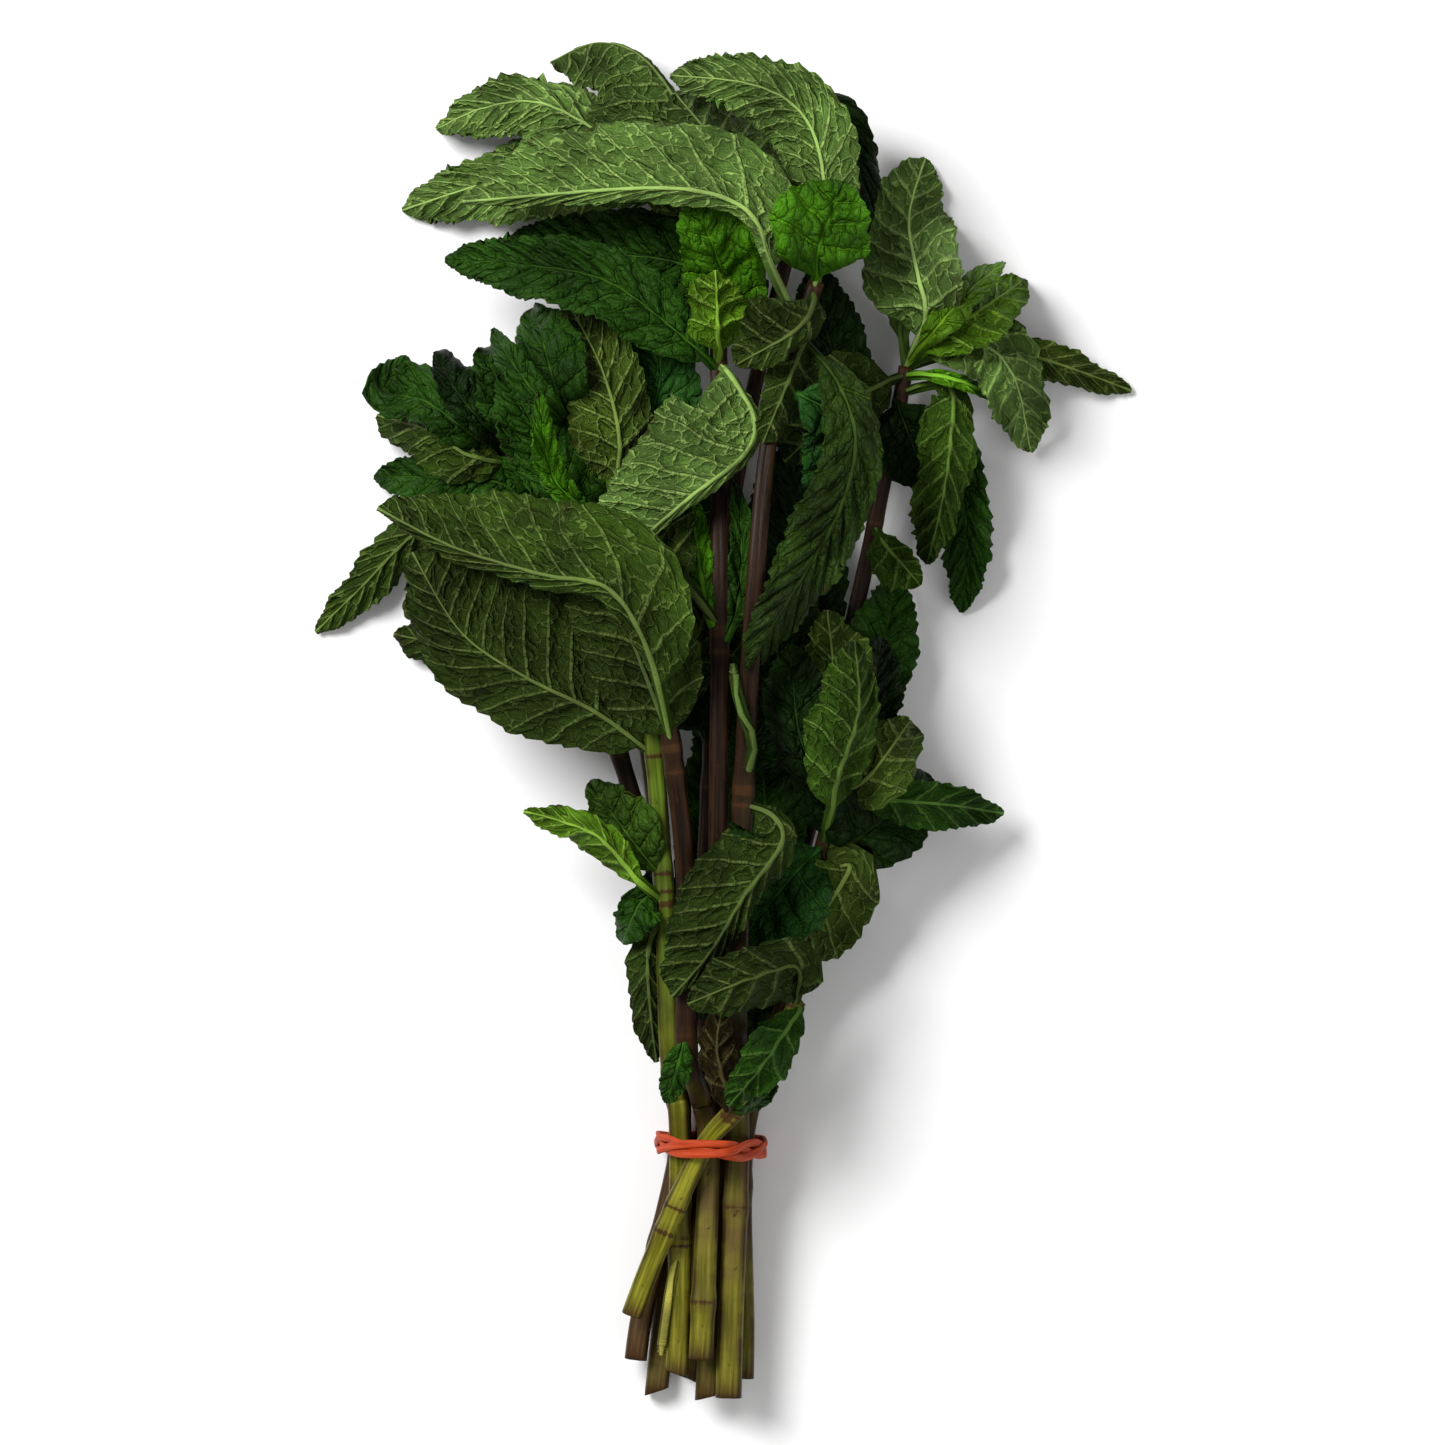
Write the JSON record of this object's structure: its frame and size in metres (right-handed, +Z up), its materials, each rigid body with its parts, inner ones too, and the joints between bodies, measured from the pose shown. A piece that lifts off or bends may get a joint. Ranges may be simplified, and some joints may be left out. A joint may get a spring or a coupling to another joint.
{
  "type": "mint bunch",
  "caption": "Bunch of fresh mint lying on its side: square leafy stems with toothed, veined leaves, gathered by a rubber band wound twice round the stems.",
  "frame": {"origin": "centre of the bounding box in plan, at the height of the surface the bunch lies on", "axes": "+X to the right as seen from above with the leafy head away, +Y from the cut stem ends to the leafy head, +Z up from the surface"},
  "size_m": [0.1604, 0.2648, 0.0525],
  "materials": {
    "leafy_stem": "satin",
    "band": "satin"
  },
  "bodies": {
    "root": {"stem_left_low": "leafy_stem", "stem_right_low": "leafy_stem", "stem_back": "leafy_stem", "stem_left_mid": "leafy_stem", "stem_right_olive": "leafy_stem", "stem_left_green": "leafy_stem", "stem_purple": "leafy_stem", "stem_centre": "leafy_stem", "stem_thick": "leafy_stem", "stem_diagonal": "leafy_stem", "rubber_band": "band"}
  },
  "joints": []
}
